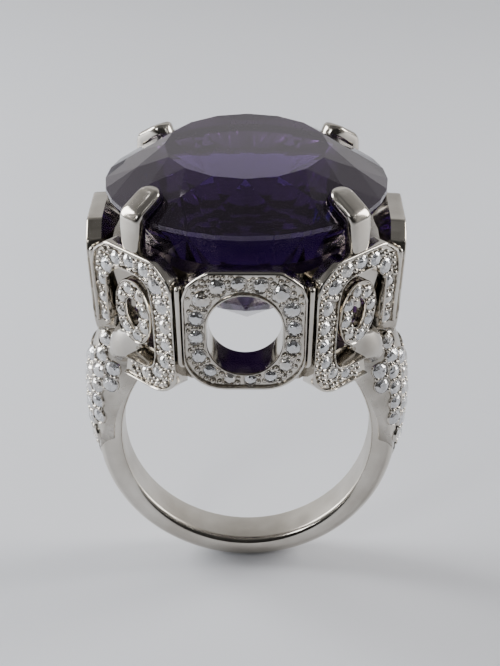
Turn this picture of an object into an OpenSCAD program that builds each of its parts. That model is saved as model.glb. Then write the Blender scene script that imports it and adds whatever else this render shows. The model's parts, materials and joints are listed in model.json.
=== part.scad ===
// Cocktail ring: a large round amethyst held by four claws above a basket of
// eight pave-set medallions, on a plain D-section band with pave-domed shoulders.
// The finger hole's centre is the origin, +Z points at the stone's table and
// +Y runs along the finger.

/* [Band] */
// Inside diameter of the band
finger_d = 17.35; // [15:0.05:20]
// Width of the band along the finger
band_w = 3.1; // [2.4:0.1:4]
// Thickness of the band at its crown
band_t = 1.85; // [1.5:0.05:2.4]
// Thickness of the band at its two edges
band_edge = 1; // [0.7:0.05:1.3]
// How far each end of the band climbs above the finger's centre, in degrees
band_climb = 55; // [48:1:56]

/* [Centre stone] */
// Girdle diameter of the amethyst
stone_d = 18.2; // [15:0.1:22]
// Width of its table across the finger
table_d = 10.5; // [8:0.1:12]
// Length of its table along the finger
table_long = 11.6; // [8:0.1:12]
// Height of its crown
crown_h = 2.3; // [1.8:0.1:3]
// Thickness of its girdle
girdle_t = 0.3; // [0.2:0.05:0.6]
// Depth of its pavilion
pavilion_h = 9.8; // [8:0.1:12]

/* [Basket] */
// How far the girdle stands above the medallions
girdle_lift = 1.6; // [1:0.1:2.4]
// Depth of a medallion from its face to the inside of the basket
panel_t = 2.6; // [2.3:0.1:3]
// Outward lean of the medallions, in degrees
panel_lean = 3.2; // [0:0.1:6]
// How far the foot of the front medallion stands outside the girdle
front_out = 0.55; // [0.2:0.05:0.8]
// How far the foot of a side medallion stands outside the girdle
side_out = 0.65; // [0.2:0.05:0.9]
// Width of the groove between two medallions
groove_w = 0.62; // [0.5:0.02:0.9]
// Thickness of the bar that shows in the groove
bar_t = 0.34; // [0.2:0.02:0.48]
// Width of the round window in the front, side and back medallions
window_w = 4.6; // [3.6:0.1:5]
// Extra height of that window
window_extra = 0.9; // [0:0.1:1.4]
// How far a corner medallion hangs below the others
corner_drop = 1.1; // [0:0.1:1.3]
// Width of the square window in the four corner medallions
corner_window_w = 4.3; // [3.8:0.1:4.6]
// Height of the square window
corner_window_h = 6.4; // [4.6:0.1:6.8]
// How far that window is moved towards the shoulder
corner_shift = 0.35; // [0:0.05:0.5]
// Thickness of a medallion's lip above the bearing ring
lip_t = 0.95; // [0.7:0.05:1.1]
// Height of the rail at the foot of the basket
rail_h = 0.7; // [0.5:0.05:1]
// Height of the bearing ring under the stone
bearing_h = 1; // [0.6:0.1:1.4]

/* [Claws] */
// Width of a claw
claw_w = 1.75; // [1.2:0.05:2.4]
// Thickness of a claw
claw_t = 0.95; // [0.5:0.05:1.1]
// How far a claw reaches over the crown from the girdle
claw_reach = 1.6; // [0.8:0.05:2]

/* [Shoulders] */
// Half width of a shoulder's dome
shoulder_r = 3; // [2.4:0.1:3.4]
// How far a shoulder's crest stands outside the finger hole
shoulder_out = 2.37; // [2.1:0.01:2.8]
// Height of a shoulder's lower point, measured from the finger's centre
shoulder_tip_z = -3.6; // [-5:0.1:-2.6]

/* [Diamonds] */
// Radius of a diamond on a medallion
melee_r = 0.49; // [0.4:0.01:0.5]
// How much larger the diamonds in a medallion's upper corners are
melee_gain = 0.12; // [0:0.01:0.13]
// How much smaller the diamonds at a medallion's foot and beside a shoulder are
melee_loss = 0.09; // [0:0.01:0.12]
// Distance between two diamonds along a medallion
melee_pitch = 1.27; // [1.2:0.01:1.6]
// Radius of a diamond on an inner halo
halo_melee_r = 0.42; // [0.3:0.01:0.46]
// Radius of a diamond on the widest part of a shoulder
shoulder_melee_r = 0.56; // [0.4:0.01:0.58]

/* [Hidden] */
$fn = 48;

GOLD = "gainsboro";
DIAMOND = "aliceblue";
AMETHYST = "indigo";

finger_r = finger_d / 2;
girdle_r = stone_d / 2;
table_r = table_d / 2;
cut = 60;

// Heights of the head, from the finger hole upwards
finger_gap = 0.03;
culet_gap = 0.125;
rail_z = finger_r + finger_gap;
culet_z = finger_r + culet_gap;
girdle_z = culet_z + pavilion_h;
table_z = girdle_z + girdle_t + crown_h;
panel_h = (girdle_z - girdle_lift - rail_z) / cos(panel_lean);
stone_gap = 0.03;

// Stations of the stone's outline: radius and height
pavilion_low = [0.43 * girdle_r, culet_z + 0.25 * pavilion_h];
pavilion_high = [0.747 * girdle_r, culet_z + 0.633 * pavilion_h];
crown_mid = [(girdle_r + table_r) / 2, girdle_z + girdle_t + 0.55 * crown_h];

// Basket plan: eight medallions, numbered anticlockwise from the front
panels = 8;
step = 360 / panels;
function is_corner(k) = k % 2 == 1;
function is_side(k) = k % 4 == 2;
function out_by(k) = is_corner(k) ? (front_out + side_out) / 2 : is_side(k) ? side_out : front_out;
function face_r(k) = girdle_r + out_by(k);
// +1 where the neighbouring shoulder lies on the medallion's own +X side
function shoulder_sign(k) = k % 4 == 1 ? 1 : -1;
panel_w = 2 * (girdle_r + front_out) * tan(step / 2) - groove_w / cos(step / 2) + 0.35;
bearing_z = rail_z + 0.78 * panel_h;
rail_reach = face_r(0) - 1.5;
bearing_reach = face_r(0) - 1.2;
rail_in_r = rail_reach - 1.2;

// Medallion face: rims, sunk field and the loop on which the diamonds lie
foot_round = 2.6;
rim_out = 0.3;
rim_in = 0.14;
field_sink = 0.2;
loop_power = 2.7;
function foot_v(k) = is_corner(k) ? -corner_drop : 0;
function window_mid(k) = is_corner(k)
    ? [shoulder_sign(k) * corner_shift, (panel_h - corner_drop) / 2]
    : [0, 0.472 * panel_h];
function window_half(k) = is_corner(k)
    ? [corner_window_w, corner_window_h] / 2
    : [window_w, window_w + window_extra] / 2;
function loop_top(k) = (panel_h - rim_out + window_mid(k)[1] + window_half(k)[1] + rim_in) / 2;
function loop_foot(k) = (foot_v(k) + rim_out + window_mid(k)[1] - window_half(k)[1] - rim_in) / 2;
function loop_mid(k) = [window_mid(k)[0] / 2, (loop_top(k) + loop_foot(k)) / 2];
function loop_half(k) = [
    (panel_w / 2 - rim_out + window_half(k)[0] + rim_in) / 2,
    (loop_top(k) - loop_foot(k)) / 2
];

// Inner halo, its scroll and how deep they lie in the window
halo_half = [1.7, 2.3];
halo_hole = [0.62, 1];
halo_front = 0.5;
halo_t = 0.7;
scroll_t = 0.8;
halo_shift = 0.3;

// Shoulder: a curved tube around an axis beyond the far side of the finger
shoulder_bend = 15.05;
shoulder_axis_x = finger_r + shoulder_out - shoulder_bend - shoulder_r;
shoulder_axis_z = 3.2;
shoulder_top_z = rail_z;
cap_r = 2.65;
cap_x = finger_r + shoulder_out - 0.1 - cap_r;
cap_z = shoulder_top_z - cap_r;
leaf_z = 5;
leaf_len = leaf_z - shoulder_tip_z;
leaf_r = (leaf_len * leaf_len + shoulder_r * shoulder_r) / (2 * shoulder_r);
side_bare = 0.5;
function leaf_half(z) = sqrt(max(0, leaf_r * leaf_r - (z - leaf_z) * (z - leaf_z))) - leaf_r + shoulder_r;

// ---- outlines ---------------------------------------------------------------

function arc(x, y, r, from, to, n = 6) =
    [for (i = [0:n]) let (a = from + (to - from) * i / n) [x + r * cos(a), y + r * sin(a)]];

// Upright cushion with round lower corners and cut upper corners
function cushion(w, h, r) = concat(
    arc(r - w / 2, r, r, 180, 270),
    arc(w / 2 - r, r, r, 270, 360),
    [[w / 2, h - 2], [w / 2 - 0.35, h - 0.95], [w / 2 - 1.6, h]],
    [[1.6 - w / 2, h], [0.35 - w / 2, h - 0.95], [-w / 2, h - 2]]
);

function oval(a, b, power, n = 40) = [
    for (i = [0:n - 1])
        let (t = i * 360 / n, c = cos(t), s = sin(t))
            [a * sign(c) * pow(abs(c), 2 / power), b * sign(s) * pow(abs(s), 2 / power)]
];

// Points spaced evenly by length along a closed loop of corner points
function lengths(p) = [
    for (i = 0, sum = 0; i <= len(p); sum = sum + norm(p[(i + 1) % len(p)] - p[i % len(p)]), i = i + 1) sum
];
function leg_at(sums, s) = max([for (i = [0:len(sums) - 2]) sums[i] <= s ? i : 0]);
function along(p, sums, s) =
    let (i = leg_at(sums, s), t = (s - sums[i]) / (sums[i + 1] - sums[i]))
        p[i] + t * (p[(i + 1) % len(p)] - p[i]);
function spread(p, pitch) =
    let (sums = lengths(p), total = sums[len(p)], n = floor(total / pitch))
        [for (i = [0:n - 1]) along(p, sums, total * (i + 0.25) / n)];

function panel_loop(k) = spread(oval(loop_half(k)[0], loop_half(k)[1], loop_power, 120), melee_pitch);
halo_loop = spread(oval((halo_half[0] + halo_hole[0]) / 2, (halo_half[1] + halo_hole[1]) / 2, 2, 60), 1.04);
function loop_melee_r(k, p) =
    let (
        q = [p[0] / loop_half(k)[0], p[1] / loop_half(k)[1]],
        by_shoulder = is_corner(k) ? shoulder_sign(k) * q[0] : 0
    )
        melee_r + melee_gain * (q[1] > 0 ? pow(abs(q[0] * q[1]) / 0.6, 3) : 0)
        - melee_loss * pow(max(0, -q[1], by_shoulder), 2);

// ---- placing ----------------------------------------------------------------

// Own frame of medallion k: X along its face, Y into the basket, Z up its face
module on_panel(k) {
    rotate([0, 0, k * step])
        translate([0, -face_r(k), rail_z])
            rotate([panel_lean, 0, 0])
                children();
}

// An outline drawn on the face, extruded between two depths below it
module sheet(from, to) {
    translate([0, to, 0])
        rotate([90, 0, 0])
            linear_extrude(to - from)
                children();
}

// ---- stones -----------------------------------------------------------------

module brilliant(r) {
    rotate_extrude($fn = 32)
        polygon([[0, -0.86 * r], [r, -0.05 * r], [r, 0.05 * r], [0.56 * r, 0.34 * r], [0, 0.34 * r]]);
}

// The seat that a brilliant drops into: its own underside, open above
module seat(r) {
    rotate_extrude($fn = 32)
        polygon([[0, -0.86 * r], [r, -0.05 * r], [r, 1], [0, 1]]);
}

module place_panel_melee(k) {
    for (p = panel_loop(k))
        if (!is_corner(k) || !in_scroll_gap(k, loop_mid(k) + p))
            on_panel(k)
                translate([loop_mid(k)[0] + p[0], field_sink, loop_mid(k)[1] + p[1]])
                    rotate([90, 0, 0])
                        if ($as_seat) seat(loop_melee_r(k, p)); else brilliant(loop_melee_r(k, p));
}

// A turned outline round the whole amethyst, grown by a gap
module stone_envelope(gap) {
    rotate_extrude($fn = 96)
        polygon([
            [0, culet_z - gap],
            [pavilion_low[0] + gap, pavilion_low[1]],
            [pavilion_high[0] + gap, pavilion_high[1]],
            [girdle_r + gap, girdle_z],
            [girdle_r + gap, girdle_z + girdle_t],
            [crown_mid[0] + gap, crown_mid[1] + gap],
            [max(table_d, table_long) / 2, table_z + gap],
            [0, table_z + gap]
        ]);
}

module stone_ring(r, z, sides, turn) {
    rotate([0, 0, turn])
        translate([0, 0, z - 0.005])
            cylinder(r = r, h = 0.01, $fn = sides);
}

module amethyst() {
    color(AMETHYST)
        intersection() {
            hull() {
                scale([1, table_long / table_d, 1])
                    stone_ring(table_r, table_z - 0.005, 16, 0);
                stone_ring(crown_mid[0], crown_mid[1], 16, 11.25);
                stone_ring(girdle_r, girdle_z + girdle_t, 32, 0);
                stone_ring(girdle_r, girdle_z, 32, 0);
                stone_ring(pavilion_high[0], pavilion_high[1], 16, 11.25);
                stone_ring(pavilion_low[0], pavilion_low[1], 16, 0);
                stone_ring(0.05, culet_z + 0.005, 16, 0);
            }
            translate([0, 0, culet_z])
                cylinder(r = stone_d, h = table_z - culet_z);
        }
}

// ---- band and shoulders -----------------------------------------------------

// The band before the seats that reach into it are cut
module band_blank() {
    rise = band_t - band_edge;
    crown_r = (band_w * band_w / 4 + rise * rise) / (2 * rise);
    rotate([90, 0, 0])
        rotate([0, 0, 180 - band_climb])
            rotate_extrude(angle = 180 + 2 * band_climb, $fn = 128)
                intersection() {
                    translate([finger_r, -band_w / 2])
                        square([band_t, band_w]);
                    translate([finger_r + band_t - crown_r, 0])
                        circle(r = crown_r);
                }
}

module shank() {
    color(GOLD)
        difference() {
            band_blank();
            place_shoulder_melee(band_melee, $as_seat = true);
            to_left()
                place_shoulder_melee(band_melee, $as_seat = true);
        }
}

// Right-hand shoulder before its seats are cut
module shoulder_blank() {
    difference() {
        intersection() {
            translate([shoulder_axis_x, 0, shoulder_axis_z])
                rotate([90, 0, 0])
                    rotate_extrude($fn = 96)
                        translate([shoulder_bend, 0])
                            circle(r = shoulder_r);
            // side view: plain below, rounded over at the top
            rotate([90, 0, 0])
                linear_extrude(cut, center = true)
                    union() {
                        translate([cap_x, cap_z])
                            circle(r = cap_r);
                        translate([cap_x - 6, shoulder_tip_z - 2])
                            square([6 + cap_r, cap_z - shoulder_tip_z + 2]);
                        translate([cap_x - 6, cap_z - 1])
                            square([6, cap_r + 1]);
                    }
            // end view: a leaf that comes to a point on the band
            rotate([90, 0, 90])
                linear_extrude(cut)
                    intersection() {
                        translate([leaf_r - shoulder_r, leaf_z])
                            circle(r = leaf_r, $fn = 96);
                        translate([shoulder_r - leaf_r, leaf_z])
                            circle(r = leaf_r, $fn = 96);
                    }
        }
        rotate([90, 0, 0])
            cylinder(r = finger_r + side_bare, h = cut, center = true, $fn = 128);
        band_blank();
    }
}

shoulder_rows = 7;
row_turn = 22;
row_pitch = 1.27;
shoulder_steps = 12;
melee_sink = 0.04;
// Bare metal below a shoulder's lowest row of diamonds
tip_bare = 1.25;
first_turn = asin((shoulder_tip_z + tip_bare - shoulder_axis_z) / shoulder_bend);

// Each entry: turn along the shoulder, turn across it, radius of the diamond
shoulder_melee = [
    for (row = [0:shoulder_rows - 1], i = [0:shoulder_steps])
        let (
            across = (row - (shoulder_rows - 1) / 2) * row_turn,
            turn = first_turn + (i + (row % 2) / 2) * row_pitch / (shoulder_bend + shoulder_r) * 180 / PI,
            reach = shoulder_bend + shoulder_r * cos(across),
            x = shoulder_axis_x + reach * cos(turn),
            z = shoulder_axis_z + reach * sin(turn),
            y = abs(shoulder_r * sin(across)),
            r = min(shoulder_melee_r, 0.4 + 0.06 * (z - shoulder_tip_z - 0.8)),
            margin = y + r * cos(across)
        )
            if (margin < leaf_half(z - 0.3) && (z < cap_z || norm([x - cap_x, z - cap_z]) < cap_r - 0.12))
                [turn, across, r]
];

// The diamonds whose points reach into the band
function point_of(m) =
    let (deep = shoulder_r - melee_sink - 0.86 * m[2], reach = shoulder_bend + deep * cos(m[1]))
        [shoulder_axis_x + reach * cos(m[0]), deep * sin(m[1]), shoulder_axis_z + reach * sin(m[0])];
band_melee = [
    for (m = shoulder_melee)
        let (tip = point_of(m))
            if (abs(tip[1]) < band_w / 2 + m[2] && norm([tip[0], tip[2]]) < finger_r + band_t)
                m
];

module place_shoulder_melee(melee) {
    for (m = melee)
        translate([shoulder_axis_x, 0, shoulder_axis_z])
            rotate([0, -m[0], 0])
                translate([shoulder_bend, 0, 0])
                    rotate([0, 0, m[1]])
                        translate([shoulder_r - melee_sink, 0, 0])
                            rotate([0, 90, 0])
                                if ($as_seat) seat(m[2]); else brilliant(m[2]);
}

module shoulder() {
    color(GOLD)
        difference() {
            shoulder_blank();
            place_shoulder_melee(shoulder_melee, $as_seat = true);
        }
}

module to_left() {
    rotate([0, 0, 180])
        children();
}

// ---- basket -----------------------------------------------------------------

// Eight-sided plate whose sides stand a given distance from the stone's axis
module octagon_plate(reach, z, h) {
    translate([0, 0, z])
        linear_extrude(h)
            rotate([0, 0, step / 2])
                circle(r = reach / cos(step / 2), $fn = panels);
}

module base_rail() {
    color(GOLD)
        difference() {
            octagon_plate(rail_reach, rail_z, rail_h);
            translate([0, 0, rail_z - 1])
                cylinder(r = rail_in_r, h = rail_h + 2, $fn = 96);
        }
}

module bearing_ring() {
    color(GOLD)
        difference() {
            octagon_plate(bearing_reach, bearing_z, bearing_h);
            stone_envelope(stone_gap);
        }
}

// Everything between two neighbouring grooves
module slice(k) {
    apex = groove_w / 2 / sin(step / 2);
    rotate([0, 0, k * step])
        linear_extrude(cut)
            polygon([[0, -apex], [-cut * tan(step / 2), -apex - cut], [cut * tan(step / 2), -apex - cut]]);
}

module window(k, grow) {
    translate(window_mid(k))
        if (is_corner(k))
            polygon(oval(corner_window_w / 2 + grow, corner_window_h / 2 + grow, 4.5, 36));
        else {
            for (v = [-window_extra / 2, window_extra / 2])
                translate([0, v])
                    circle(r = window_w / 2 + grow);
            translate([-window_w / 2 - grow, -window_extra / 2])
                square([window_w + 2 * grow, window_extra]);
        }
}

module medallion(k) {
    color(GOLD)
        difference() {
            intersection() {
                on_panel(k)
                    sheet(0, panel_t)
                        translate([0, foot_v(k)])
                            polygon(cushion(panel_w, panel_h - foot_v(k), foot_round));
                slice(k);
            }
            on_panel(k)
                sheet(-1, panel_t + 1)
                    window(k, 0);
            // sunk field between the outer rim and the window's rim
            on_panel(k)
                sheet(-1, field_sink)
                    difference() {
                        translate([0, foot_v(k) + rim_out])
                            polygon(cushion(
                                panel_w - 2 * rim_out,
                                panel_h - foot_v(k) - 2 * rim_out,
                                foot_round - rim_out
                            ));
                        window(k, rim_in);
                    }
            place_panel_melee(k, $as_seat = true);
            octagon_plate(rail_reach, rail_z - corner_drop - 1, rail_h + corner_drop + 1);
            octagon_plate(bearing_reach, bearing_z, bearing_h);
            octagon_plate(face_r(0) - lip_t, bearing_z + bearing_h, cut);
            rotate([90, 0, 0])
                cylinder(r = rail_z, h = cut, center = true, $fn = 128);
            stone_envelope(stone_gap);
            if (is_corner(k)) {
                claw_blank(k);
                on_panel(k)
                    sheet(-1, panel_t + 1)
                        scroll_strap(k);
            }
        }
}

module divider(i) {
    corner = (i + 0.5) * step;
    inner = bearing_reach / cos(step / 2) - 0.6;
    middle = girdle_r / cos(step / 2) - 0.65;
    outer = (girdle_r + front_out) / cos(step / 2) - 0.1;
    low = rail_z + 1.5;
    high = rail_z + panel_h - 1.15;
    color(GOLD)
        difference() {
            rotate([0, 0, corner])
                translate([0, 0, low])
                    linear_extrude(high - low)
                        polygon([
                            [-groove_w / 2, -inner], [-groove_w / 2, -middle],
                            [-bar_t / 2, -middle], [-bar_t / 2, -outer],
                            [bar_t / 2, -outer], [bar_t / 2, -middle],
                            [groove_w / 2, -middle], [groove_w / 2, -inner]
                        ]);
            octagon_plate(bearing_reach, bearing_z, bearing_h);
            stone_envelope(stone_gap);
        }
}

// ---- scrolls and halos in the corner medallions -----------------------------

// Centre line of a scroll's strap: distance towards the shoulder and height
strap_line = [[0.5, 1.25], [1.4, 1.2], [2.4, 0.65], [3.3, -0.25], [4.1, -1.1]];
strap_half = [0.6, 1, 1.2, 1.15, 1];

module scroll_strap(k) {
    n = len(strap_line);
    side = [for (i = [0:n - 1])
        let (d = strap_line[min(i + 1, n - 1)] - strap_line[max(i - 1, 0)], u = d / norm(d))
            [-u[1], u[0]] * strap_half[i]];
    edge = concat(
        [for (i = [0:n - 1]) strap_line[i] - shoulder_sign(k) * side[i]],
        [for (i = [n - 1:-1:0]) strap_line[i] + shoulder_sign(k) * side[i]]
    );
    polygon([for (p = edge) [shoulder_sign(k) * p[0], p[1]]]);
}

// True where a diamond would hang over the gap that the strap passes through
function in_scroll_gap(k, p) =
    let (q = [shoulder_sign(k) * p[0], p[1]])
        min([for (i = [0:7]) norm(q - strap_line[1] - (strap_line[3] - strap_line[1]) * i / 7)]) < 2.05;

function halo_mid(k) = window_mid(k) + [shoulder_sign(k) * halo_shift, 0];

module halo_centre(k) {
    translate(halo_mid(k))
        children();
}

module scroll(k) {
    color(GOLD)
        difference() {
            on_panel(k)
                sheet(halo_front + halo_t, halo_front + halo_t + scroll_t)
                    difference() {
                        union() {
                            halo_centre(k)
                                polygon(oval(halo_half[0] - 0.1, halo_half[1] - 0.1, 2));
                            scroll_strap(k);
                        }
                        halo_centre(k)
                            polygon(oval(halo_hole[0], halo_hole[1], 2));
                    }
            octagon_plate(rail_reach, rail_z - 0.001, rail_h);
            translate([0, 0, rail_z - 0.001])
                slice(k == 1 || k == 3 ? 2 : 6);
            if (k == 1 || k == 3)
                shoulder_blank();
            else
                to_left()
                    shoulder_blank();
        }
}

module place_halo_melee(k) {
    for (p = halo_loop)
        on_panel(k)
            translate([halo_mid(k)[0] + p[0], halo_front, halo_mid(k)[1] + p[1]])
                rotate([90, 0, 0])
                    if ($as_seat) seat(halo_melee_r); else brilliant(halo_melee_r);
}

module halo(k) {
    color(GOLD)
        difference() {
            on_panel(k)
                sheet(halo_front, halo_front + halo_t)
                    halo_centre(k)
                        difference() {
                            polygon(oval(halo_half[0], halo_half[1], 2));
                            polygon(oval(halo_hole[0], halo_hole[1], 2));
                        }
            place_halo_melee(k, $as_seat = true);
        }
}

// ---- claws ------------------------------------------------------------------

// How deep a claw stands in its medallion
claw_foot = 0.35;

// Side view of a claw: height against distance from the stone's axis
module claw_side() {
    stem_in = girdle_r + stone_gap;
    stem_out = stem_in + claw_t;
    foot = girdle_z - girdle_lift - claw_foot;
    slope = atan2(table_z - girdle_z - girdle_t, girdle_r - table_r);
    heel = [stem_in, girdle_z + girdle_t + 0.06];
    nose = heel + claw_reach * [-cos(slope), sin(slope)] + claw_t / 2 * [sin(slope), cos(slope)];
    polygon(concat(
        [[stem_in, foot], [stem_out, foot]],
        arc(heel[0], heel[1], claw_t, 0, 90 - slope, 8),
        arc(nose[0], nose[1], claw_t / 2, 90 - slope, 270 - slope, 8),
        [heel]
    ));
}

module claw_blank(k) {
    tip_x = girdle_r - claw_reach;
    rotate([0, 0, k * step - 90])
        intersection() {
            rotate([90, 0, 0])
                linear_extrude(claw_w, center = true)
                    claw_side();
            linear_extrude(cut)
                union() {
                    translate([tip_x + claw_w * 0.2, 0])
                        circle(d = claw_w);
                    translate([tip_x + claw_w * 0.2, -claw_w / 2])
                        square([claw_w * 3, claw_w]);
                }
        }
}

module claw(k) {
    color(GOLD)
        difference() {
            claw_blank(k);
            stone_envelope(stone_gap / 2);
        }
}

// ---- diamond groups ---------------------------------------------------------

module diamonds(k) {
    color(DIAMOND)
        place_panel_melee(k, $as_seat = false);
}

module halo_diamonds(k) {
    color(DIAMOND)
        place_halo_melee(k, $as_seat = false);
}

module shoulder_diamonds() {
    color(DIAMOND)
        place_shoulder_melee(shoulder_melee, $as_seat = false);
}

// ---- nodes ------------------------------------------------------------------

shank();
to_left() shoulder();  // shoulder_left
shoulder();  // shoulder_right
base_rail();
bearing_ring();
medallion(0);  // medallion_front
medallion(1);  // medallion_front_right
medallion(2);  // medallion_right
medallion(3);  // medallion_back_right
medallion(4);  // medallion_back
medallion(5);  // medallion_back_left
medallion(6);  // medallion_left
medallion(7);  // medallion_front_left
scroll(1);  // scroll_front_right
scroll(3);  // scroll_back_right
scroll(5);  // scroll_back_left
scroll(7);  // scroll_front_left
halo(1);  // halo_front_right
halo(3);  // halo_back_right
halo(5);  // halo_back_left
halo(7);  // halo_front_left
divider(0);  // divider_front_right
divider(1);  // divider_right_front
divider(2);  // divider_right_back
divider(3);  // divider_back_right
divider(4);  // divider_back_left
divider(5);  // divider_left_back
divider(6);  // divider_left_front
divider(7);  // divider_front_left
claw(1);  // claw_front_right
claw(3);  // claw_back_right
claw(5);  // claw_back_left
claw(7);  // claw_front_left
amethyst();
diamonds(0);  // diamonds_front
diamonds(1);  // diamonds_front_right
diamonds(2);  // diamonds_right
diamonds(3);  // diamonds_back_right
diamonds(4);  // diamonds_back
diamonds(5);  // diamonds_back_left
diamonds(6);  // diamonds_left
diamonds(7);  // diamonds_front_left
halo_diamonds(1);  // halo_diamonds_front_right
halo_diamonds(3);  // halo_diamonds_back_right
halo_diamonds(5);  // halo_diamonds_back_left
halo_diamonds(7);  // halo_diamonds_front_left
to_left() shoulder_diamonds();  // shoulder_diamonds_left
shoulder_diamonds();  // shoulder_diamonds_right
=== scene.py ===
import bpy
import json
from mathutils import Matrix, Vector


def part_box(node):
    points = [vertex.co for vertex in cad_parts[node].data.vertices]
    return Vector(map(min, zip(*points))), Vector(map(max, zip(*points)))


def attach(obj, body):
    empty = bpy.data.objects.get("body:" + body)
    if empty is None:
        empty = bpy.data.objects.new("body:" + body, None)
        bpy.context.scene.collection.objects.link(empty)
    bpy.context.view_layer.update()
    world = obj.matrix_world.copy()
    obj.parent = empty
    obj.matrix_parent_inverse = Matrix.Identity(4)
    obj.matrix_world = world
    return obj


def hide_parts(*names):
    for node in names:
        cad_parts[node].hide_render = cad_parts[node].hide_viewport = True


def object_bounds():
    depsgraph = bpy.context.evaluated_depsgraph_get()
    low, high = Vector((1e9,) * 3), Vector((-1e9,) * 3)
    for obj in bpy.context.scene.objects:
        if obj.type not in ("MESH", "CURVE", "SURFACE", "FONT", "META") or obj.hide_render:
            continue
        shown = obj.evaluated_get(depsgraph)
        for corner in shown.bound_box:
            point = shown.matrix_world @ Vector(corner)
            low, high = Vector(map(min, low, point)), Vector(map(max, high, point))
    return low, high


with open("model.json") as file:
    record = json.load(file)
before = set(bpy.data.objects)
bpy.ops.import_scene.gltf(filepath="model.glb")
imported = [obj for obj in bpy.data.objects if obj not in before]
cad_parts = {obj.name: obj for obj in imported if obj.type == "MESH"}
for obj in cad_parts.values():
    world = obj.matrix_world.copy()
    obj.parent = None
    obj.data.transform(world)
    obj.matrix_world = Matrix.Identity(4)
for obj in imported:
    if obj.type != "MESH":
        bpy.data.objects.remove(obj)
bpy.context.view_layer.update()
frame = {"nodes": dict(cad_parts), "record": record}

import json
import math
import random

import bmesh
import bpy
import numpy as np
from mathutils import Vector

mm = 0.001
turn = 2 * math.pi
print("frame loaded:", len(frame["nodes"]), "nodes")


def boxOf(node):
    low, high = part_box(node)
    return np.array(low) / mm, np.array(high) / mm


def pieceName(kind, where):
    return kind + where.title().replace("_", "")


def turned(x, y, angle):
    c, s = math.cos(angle), math.sin(angle)
    return x * c - y * s, x * s + y * c


fingerR = frame["record"]["mounts"][0]["dims"]["r_mm"]
bandW = frame["record"]["mounts"][0]["dims"]["length_mm"]
stoneLow, stoneHigh = boxOf("amethyst")
girdleR = stoneHigh[0]
railZ = boxOf("base_rail")[0][2]
frontOut = -boxOf("medallion_front")[0][1]
sideOut = boxOf("medallion_right")[1][0]
bandOut = -boxOf("shank")[0][2]
shoulderOut = boxOf("shoulder_right")[1][0]
shoulderTip = boxOf("shoulder_right")[0][2]

stone = dict(tableR=5.25, tableLong=5.8, crownH=2.3, girdleH=0.3, beltR=7.1, facets=16,
             bellyR=0.747, bellyZ=0.633, keelR=0.43, keelZ=0.25, gap=0.04)
basket = dict(lean=3.2, depth=2.6, groove=0.62, bar=0.34, sides=8, girdleLift=1.6, lip=1.0, cornerDrop=1.1,
              railH=0.7, railIn=1.45)
step = turn / basket["sides"]
lean = math.radians(basket["lean"])
girdleZ = stoneHigh[2] - stone["crownH"] - stone["girdleH"]
panelTop = girdleZ - basket["girdleLift"]
panelH = (panelTop - railZ) / math.cos(lean)
pavilionH = girdleZ - stoneLow[2]

cornerNames = {1: "front_right", 3: "back_right", 5: "back_left", 7: "front_left"}
panelNames = {0: "front", 2: "right", 4: "back", 6: "left", **cornerNames}


def footR(k):
    # distance from the stone's axis to the foot of medallion k
    front = frontOut - panelH * math.sin(lean)
    side = sideOut - panelH * math.sin(lean)
    return (front + side) / 2 if k % 2 else side if k % 4 == 2 else front


def onPanel(k, x, depth, v):
    # a point on medallion k: across its face, into the basket, up its face
    y = -footR(k) + depth * math.cos(lean) - v * math.sin(lean)
    z = railZ + depth * math.sin(lean) + v * math.cos(lean)
    return np.array([*turned(x, y, k * step), z])


def shoulderSign(k):
    return 1 if k % 4 == 1 else -1


def pavilionR(z):
    stations = [(0, stoneLow[2]),
                (stone["keelR"] * girdleR, stoneLow[2] + stone["keelZ"] * pavilionH),
                (stone["bellyR"] * girdleR, stoneLow[2] + stone["bellyZ"] * pavilionH),
                (girdleR, girdleZ)]
    return float(np.interp(z, [s[1] for s in stations], [s[0] for s in stations]))


def newMaterial(name):
    material = bpy.data.materials.new(name)
    material.use_nodes = True
    nodes, links = material.node_tree.nodes, material.node_tree.links
    shader = next(n for n in nodes if n.type == "BSDF_PRINCIPLED")
    coords = nodes.new("ShaderNodeTexCoord")
    return material, nodes, links, shader, coords.outputs["Object"]


def addNoise(nodes, links, coords, scale, detail=3.0, stretch=None):
    noise = nodes.new("ShaderNodeTexNoise")
    noise.inputs["Scale"].default_value = scale
    noise.inputs["Detail"].default_value = detail
    if stretch:
        mapping = nodes.new("ShaderNodeMapping")
        mapping.inputs["Scale"].default_value = stretch
        links.new(coords, mapping.inputs["Vector"])
        coords = mapping.outputs["Vector"]
    links.new(coords, noise.inputs["Vector"])
    return noise.outputs["Fac"]


def addRamp(nodes, links, value, stops):
    ramp = nodes.new("ShaderNodeValToRGB")
    ramp.color_ramp.elements[0].position = stops[0][0]
    ramp.color_ramp.elements[1].position = stops[-1][0]
    for position, colour in stops[1:-1]:
        ramp.color_ramp.elements.new(position)
    for element, (position, colour) in zip(ramp.color_ramp.elements, stops):
        element.color = (*colour, 1)
    links.new(value, ramp.inputs["Fac"])
    return ramp.outputs["Color"]


def addRange(nodes, links, value, low, high):
    spread = nodes.new("ShaderNodeMapRange")
    spread.inputs["From Min"].default_value = 0.3
    spread.inputs["From Max"].default_value = 0.7
    spread.inputs["To Min"].default_value = low
    spread.inputs["To Max"].default_value = high
    links.new(value, spread.inputs["Value"])
    return spread.outputs["Result"]


def addBump(nodes, links, shader, value, strength, distance):
    bump = nodes.new("ShaderNodeBump")
    bump.inputs["Strength"].default_value = strength
    bump.inputs["Distance"].default_value = distance
    links.new(value, bump.inputs["Height"])
    links.new(bump.outputs["Normal"], shader.inputs["Normal"])


gold = dict(bright=(0.585, 0.555, 0.505), warm=(0.43, 0.40, 0.352), toned=(0.29, 0.266, 0.228),
            cloudScale=260, rubScale=900, scratchScale=2600, scratchDepth=0.00002, rubInside=0.2)


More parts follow.
